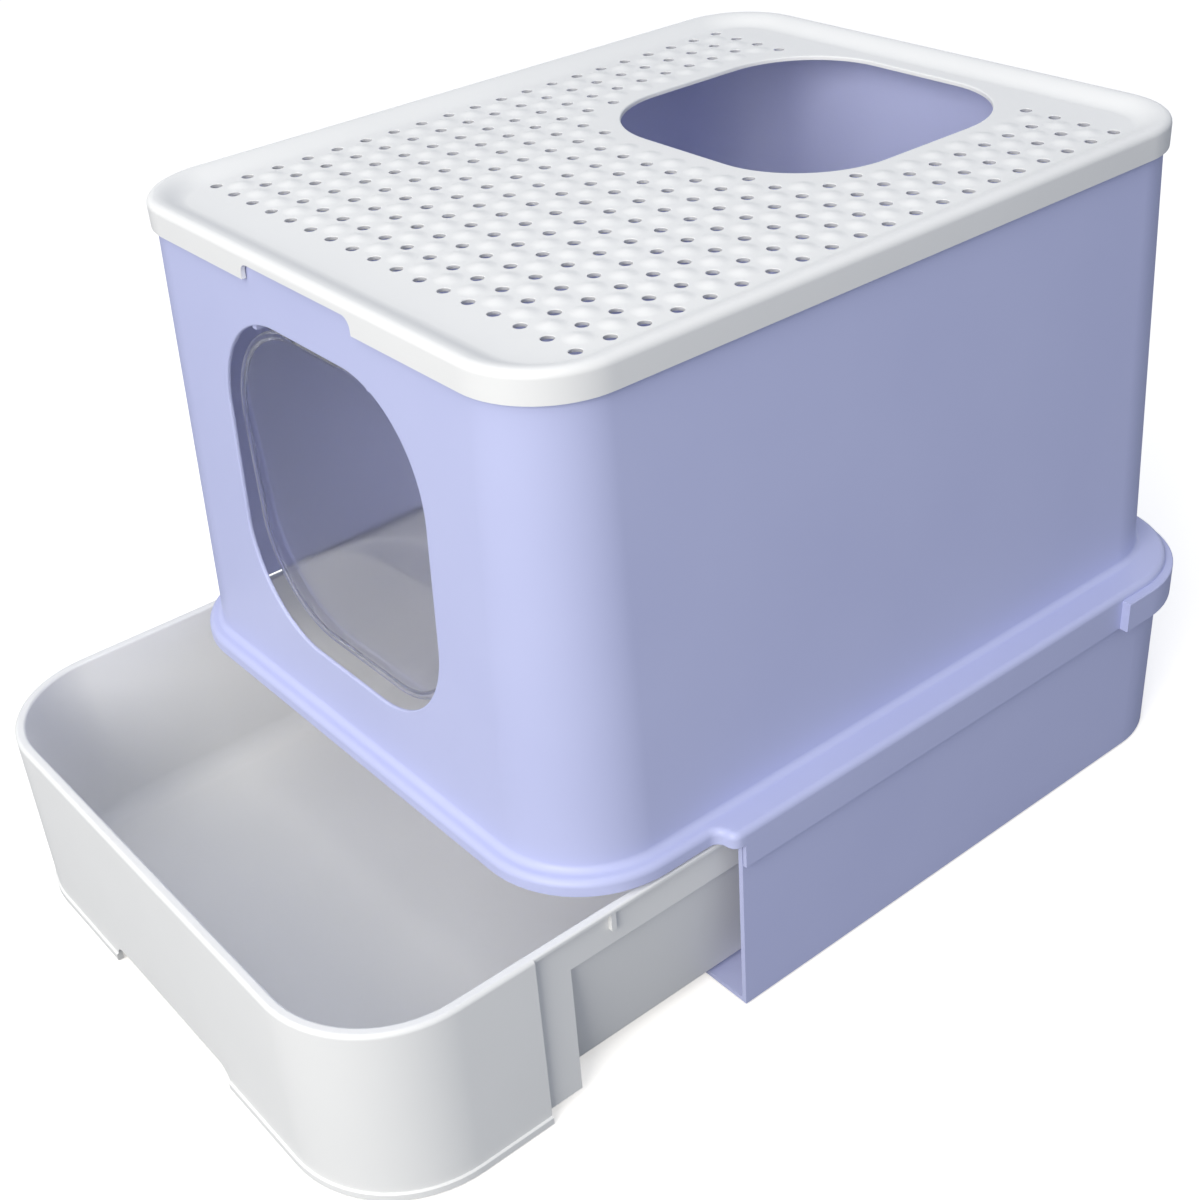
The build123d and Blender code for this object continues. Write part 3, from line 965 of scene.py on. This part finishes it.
def drawer_places(sizes):
    """Heights and depths of the drawer, from its solid's box."""
    low, high = DRAWER_BOX
    front = low.y + sizes.bead
    return {
        "front": front,
        "wrap_end": front + sizes.wrap,
        "foot": low.z,
        "rim": high.z,
        "half": high.x - sizes.bead - sizes.rim,
        "tray_front": front + sizes.rim,
        "tray_rear": high.y - sizes.lip - sizes.wall,
    }


def drawer_tray(sizes, at):
    """Tapered tray with a rounded floor, and a runner band and a lip round its top."""
    outline = rounded_block(
        at["half"], at["tray_front"], at["tray_rear"], sizes.front_corner, sizes.rear_corner
    )
    depth = at["rim"] - sizes.floor
    lean = math.atan(sizes.taper / depth)
    radius = sizes.floor_radius
    centre_inset = sizes.taper * (depth - radius) / depth + radius / math.cos(lean)

    def outer_inset(level):
        return -sizes.wall + sizes.taper * (at["rim"] - level) / (at["rim"] - sizes.underside)

    band_bottom = at["rim"] - sizes.band
    lip_bottom = at["rim"] - sizes.lip_height
    lip_reach = sizes.wall + sizes.lip
    break_edge = 0.5 * MM
    # Two flats ease the heel under the tray
    heel, heel_flat = 4 * MM, 1.2 * MM
    rings = [
        ring(outline, outer_inset(sizes.underside) + heel, sizes.underside),
        ring(outline, outer_inset(sizes.underside) + heel_flat, sizes.underside + heel_flat),
        ring(outline, outer_inset(sizes.underside + heel), sizes.underside + heel),
        ring(outline, outer_inset(band_bottom), band_bottom),
        ring(outline, -sizes.wall + break_edge, band_bottom),
        ring(outline, -sizes.wall, band_bottom + break_edge),
        ring(outline, -sizes.wall, lip_bottom),
        ring(outline, -lip_reach + break_edge, lip_bottom),
        ring(outline, -lip_reach, lip_bottom + break_edge),
    ]
    edge = sizes.lip_edge
    rings += [ring(outline, run - lip_reach, at["rim"] - edge + rise) for run, rise in quarter(edge)]
    edge = sizes.inner_edge
    rings += [ring(outline, -run, at["rim"] - edge + rise) for run, rise in reversed(quarter(edge))]
    for i in range(SMALL_STEPS + 1):
        turn = math.pi + lean + (math.pi / 2 - lean) * i / SMALL_STEPS
        inset = centre_inset + radius * math.cos(turn)
        rings.append(ring(outline, inset, sizes.floor + radius + radius * math.sin(turn)))
    bm = bmesh.new()
    capped_skin(bm, rings)
    return new_piece("litter_drawer", bm)


def drawer_front(sizes, at):
    """Wrap-around front with a rounded rim and a bead round its bottom."""
    corner = sizes.front_corner
    run = arc((at["half"] - corner, at["tray_front"] + corner), corner, -90, 0)
    run.append((Vector((at["half"], at["wrap_end"])), Vector((1, 0))))
    run = mirrored(run) + run
    ease = 0.4 * MM
    inner = sizes.rim - sizes.wall
    # The rim's inner edge is sunk in the tray's wall
    sunk = 0.6 * sizes.wall
    bead_top = at["foot"] + sizes.bead_height
    profile = [
        (inner, at["foot"]),
        (sizes.rim + sizes.bead - ease, at["foot"]),
        (sizes.rim + sizes.bead, at["foot"] + ease),
        (sizes.rim + sizes.bead, bead_top - ease),
        (sizes.rim + sizes.bead - ease, bead_top),
        (sizes.rim, bead_top + ease),
    ]
    edge = sizes.rim_edge
    profile += [(sizes.rim - inwards, at["rim"] - edge + rise) for inwards, rise in quarter(edge)]
    profile += [
        (sunk, at["rim"]),
        (sunk, at["rim"] - sizes.wall),
        (inner, at["rim"] - sizes.wall),
    ]
    rings = []
    for point, normal in run:
        rings.append([Vector((*(point + out * normal), level)) for out, level in profile])
    bm = bmesh.new()
    capped_skin(bm, rings)
    return new_piece("drawer_front", bm)


def cheeks_and_tabs(sizes, at):
    """Plain cheek behind the front and stop tab behind the cheek, on both sides."""
    face = at["half"] + sizes.wall
    tab = at["wrap_end"] + sizes.tab_setback
    tab_root, tab_drop = 1 * MM, 0.5 * MM
    bm = bmesh.new()
    for side in (-1, 1):
        left, right = sorted((side * at["half"], side * face))
        block(
            bm,
            (left, at["wrap_end"] - sizes.wall, sizes.underside),
            (right, at["wrap_end"] + sizes.cheek, at["rim"] - sizes.wall),
        )
        left, right = sorted((side * (face - tab_root), side * (face + sizes.tab_out)))
        block(
            bm,
            (left, tab - sizes.tab_width / 2, at["rim"] - sizes.tab_height),
            (right, tab + sizes.tab_width / 2, at["rim"] - tab_drop),
        )
    return new_piece("cheeks", bm)


def finger_arch(sizes, at):
    """Cutter for the finger arch in the bottom of the front."""
    top, corner = sizes.arch_top, sizes.arch_corner
    arch = loop_of(rounded_block(sizes.arch / 2, -top, top, corner, corner, SMALL_STEPS))
    ends = (at["front"] - 2 * sizes.wall, at["front"] + 2 * sizes.wall)
    return prism("finger_arch", *[front_ring(arch, y) for y in ends])


class LITTERBOX_OT_drawer(bpy.types.Operator):
    """Build the litter drawer: tray, wrap-around front with its finger arch, cheeks and stop tabs."""

    bl_idname = "litterbox.drawer"
    bl_label = "Drawer"

    def execute(self, context):
        box = context.scene.litter_box
        sizes = box.drawer
        at = drawer_places(sizes)
        piece = drawer_tray(sizes, at)
        combine(piece, drawer_front(sizes, at), "UNION")
        combine(piece, cheeks_and_tabs(sizes, at), "UNION")
        combine(piece, finger_arch(sizes, at), "DIFFERENCE")
        dress(piece, white_plastic(box.finish), "drawer", "white_plastic", "drawer")
        return {"FINISHED"}


# Flap

def flap_pane(sizes):
    """Thin pane in a rounded bead."""
    low, high = FLAP_BOX
    depth, height = HINGE
    outline = rounded_block(
        high.x, low.z, height, sizes.bottom_corner, sizes.top_corner, FINE_STEPS
    )
    thick, thin = sizes.bead / 2, sizes.pane / 2
    step = thick - thin
    foot, knee, crown = sizes.bead_width + 2 * step, sizes.bead_width, 0.8 * sizes.bead_width
    knee_rise = 0.4 * step
    # Inset and depth, from the pane's face over the bead to the flap's edge and back behind it
    profile = [(foot, thin), (knee, thin + knee_rise), (crown, thick)] + quarter(thick)[::-1]
    profile += [(inset, -out) for inset, out in reversed(profile[:-1])]
    bm = bmesh.new()
    capped_skin(bm, [front_ring(loop_of(outline, inset), depth + out) for inset, out in profile])
    return new_piece("door_flap", bm)


def knuckle_gap(sizes):
    """Cutter that frees the rod between the knuckles."""
    low, high = FLAP_BOX
    half = sizes.knuckle_reach - sizes.knuckle_run
    bm = bmesh.new()
    block(
        bm, (-half, low.y, HINGE.y - sizes.knuckle), (half, high.y, high.z + sizes.knuckle)
    )
    return new_piece("rod_gap", bm)


def knuckles(sizes):
    """Two barrels round the rod."""
    barrel = disc(HINGE, sizes.knuckle, BARREL_STEPS)
    reach = sizes.knuckle_reach
    bm = bmesh.new()
    for side in (-1, 1):
        ends = (side * (reach - sizes.knuckle_run), side * reach)
        capped_skin(bm, [side_ring(barrel, x) for x in ends])
    return new_piece("knuckles", bm)


class LITTERBOX_OT_flap(bpy.types.Operator):
    """Build the clear flap: a thin pane in a rounded bead, with two knuckles on the rod."""

    bl_idname = "litterbox.flap"
    bl_label = "Flap"

    def execute(self, context):
        box = context.scene.litter_box
        sizes = box.flap
        piece = flap_pane(sizes)
        combine(piece, knuckle_gap(sizes), "DIFFERENCE")
        combine(piece, knuckles(sizes), "UNION")
        combine(piece, rod_bore(sizes.bore, 2 * sizes.knuckle_reach), "DIFFERENCE")
        clear = finish_named(
            "polystyrene_moulded_clear", clear_polystyrene, colour=box.finish.clear
        )
        dress(piece, clear, "flap", "clear_plastic", "flap_door")
        # Clear plastic lets the lamps shine into the hood
        piece.visible_shadow = False
        return {"FINISHED"}


# Base, rod and feet

class LITTERBOX_OT_base(bpy.types.Operator):
    """Finish the solids that stay as they are: base tray, flap rod and soft feet."""

    bl_idname = "litterbox.base"
    bl_label = "Base, rod and feet"

    def execute(self, context):
        finish = context.scene.litter_box.finish
        finishes = {
            "base_tray": lavender_plastic(finish),
            "flap_hinge_rod": finish_named(
                "nylon_extruded_natural", extruded_nylon, colour=finish.nylon
            ),
            "base_feet": finish_named(
                "elastomer_moulded_grey", moulded_elastomer, colour=finish.pad
            ),
        }
        for name, material in finishes.items():
            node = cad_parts[name]
            node.data.materials.clear()
            node.data.materials.append(material)
        return {"FINISHED"}


# Stage

def soft_lamp(name, stand, aim, size, power, colour):
    """Square soft lamp that looks at a point."""
    light = bpy.data.lights.new(name, "AREA")
    light.color = linear(colour)[:3]
    light.shape = "SQUARE"
    light.size = size
    light.energy = power
    lamp = bpy.data.objects.new(name, light)
    lamp.location = stand
    lamp.rotation_euler = (Vector(aim) - Vector(stand)).to_track_quat("-Z", "Y").to_euler()
    bpy.context.scene.collection.objects.link(lamp)


def even_light(strength, colour):
    """World that lights evenly, and is white where the camera, a gloss or clear plastic shows it."""
    world = bpy.data.worlds.new("studio")
    world.use_nodes = True
    tree = world.node_tree
    tree.nodes.clear()
    rays = add_node(tree, "ShaderNodeLightPath").outputs
    sent_on = add_node(
        tree, "ShaderNodeMath", operation="MAXIMUM",
        links={0: rays["Is Glossy Ray"], 1: rays["Is Transmission Ray"]},
    )
    seen = add_node(
        tree, "ShaderNodeMath", operation="MAXIMUM",
        links={0: rays["Is Camera Ray"], 1: sent_on.outputs["Value"]},
    )
    light = add_node(
        tree, "ShaderNodeBackground", {"Color": linear(colour), "Strength": strength}
    )
    white = add_node(tree, "ShaderNodeBackground", {"Color": linear("#FFFFFF"), "Strength": 1.0})
    either = add_node(
        tree, "ShaderNodeMixShader",
        links={
            0: seen.outputs["Value"],
            1: light.outputs["Background"],
            2: white.outputs["Background"],
        },
    )
    add_node(tree, "ShaderNodeOutputWorld", links={"Surface": either.outputs["Shader"]})
    bpy.context.scene.world = world


def photo_camera(settings):
    """Camera at the photograph's angle."""
    back = Vector((
        math.sin(settings.yaw) * math.cos(settings.pitch),
        -math.cos(settings.yaw) * math.cos(settings.pitch),
        math.sin(settings.pitch),
    ))
    right = (-back).cross(Vector((0, 0, 1))).normalized()
    up = right.cross(-back)
    tilted = math.cos(settings.roll) * right + math.sin(settings.roll) * up
    upright = math.cos(settings.roll) * up - math.sin(settings.roll) * right
    data = bpy.data.cameras.new("photo_camera")
    data.lens = settings.lens
    data.sensor_width = settings.sensor
    camera = bpy.data.objects.new("photo_camera", data)
    turn = Matrix((tilted, upright, back)).transposed()
    stand = Vector(settings.target) + settings.distance * back
    camera.matrix_world = Matrix.Translation(stand) @ turn.to_4x4()
    bpy.context.scene.collection.objects.link(camera)
    bpy.context.scene.camera = camera


class LITTERBOX_OT_stage(bpy.types.Operator):
    """Set the floor, the soft lamps and the camera."""

    bl_idname = "litterbox.stage"
    bl_label = "Stage"

    def execute(self, context):
        box = context.scene.litter_box
        settings, finish = box.stage, box.finish
        reach = settings.floor_reach
        corners = [(-reach, -reach), (reach, -reach), (reach, reach), (-reach, reach)]
        bm = bmesh.new()
        bm.faces.new([bm.verts.new((x, y, CAD_BOX[0].z)) for x, y in corners])
        floor = new_piece("floor", bm)
        floor.data.materials.append(finish_named(
            "floor_painted_pale", painted_floor,
            colour=finish.floor, dull=finish.floor_dull, lift=settings.floor_lift,
        ))
        middle = (CAD_BOX[0] + CAD_BOX[1]) / 2
        tint = settings.lamp_tint
        soft_lamp(
            "key_softbox", settings.key_place, middle, settings.key_size, settings.key, tint
        )
        soft_lamp(
            "top_softbox", settings.top_place, middle, settings.top_size, settings.top, tint
        )
        even_light(settings.ambient, settings.ambient_tint)
        photo_camera(settings)
        context.scene.view_settings.view_transform = "Standard"
        return {"FINISHED"}


class LITTERBOX_PT_panel(bpy.types.Panel):
    """Lists the pieces of the litter box and their sizes."""

    bl_idname = "LITTERBOX_PT_panel"
    bl_label = "Litter Box"
    bl_space_type = "VIEW_3D"
    bl_region_type = "UI"
    bl_category = "Litter Box"

    def draw(self, context):
        for operator in OPERATORS:
            self.layout.operator(operator.bl_idname)
        box = context.scene.litter_box
        for group in (box.hood, box.lid, box.drawer, box.flap, box.finish, box.stage):
            column = self.layout.column(heading=type(group).__name__)
            for name in type(group).__annotations__:
                column.prop(group, name)


OPERATORS = (
    LITTERBOX_OT_hood,
    LITTERBOX_OT_lid,
    LITTERBOX_OT_drawer,
    LITTERBOX_OT_flap,
    LITTERBOX_OT_base,
    LITTERBOX_OT_stage,
)
GROUPS = (HoodSizes, LidSizes, DrawerSizes, FlapSizes, Finish, StageSettings, LitterBox)
CLASSES = GROUPS + OPERATORS + (LITTERBOX_PT_panel,)


def register():
    """Add the classes and the scene's settings."""
    for cls in CLASSES:
        bpy.utils.register_class(cls)
    bpy.types.Scene.litter_box = bpy.props.PointerProperty(type=LitterBox)


def unregister():
    """Take the settings and the classes away."""
    del bpy.types.Scene.litter_box
    for cls in reversed(CLASSES):
        bpy.utils.unregister_class(cls)


def main():
    """Build every piece and the stage."""
    register()
    for step in (
        bpy.ops.litterbox.hood,
        bpy.ops.litterbox.lid,
        bpy.ops.litterbox.drawer,
        bpy.ops.litterbox.flap,
        bpy.ops.litterbox.base,
        bpy.ops.litterbox.stage,
    ):
        step()


if __name__ == "__main__":
    main()
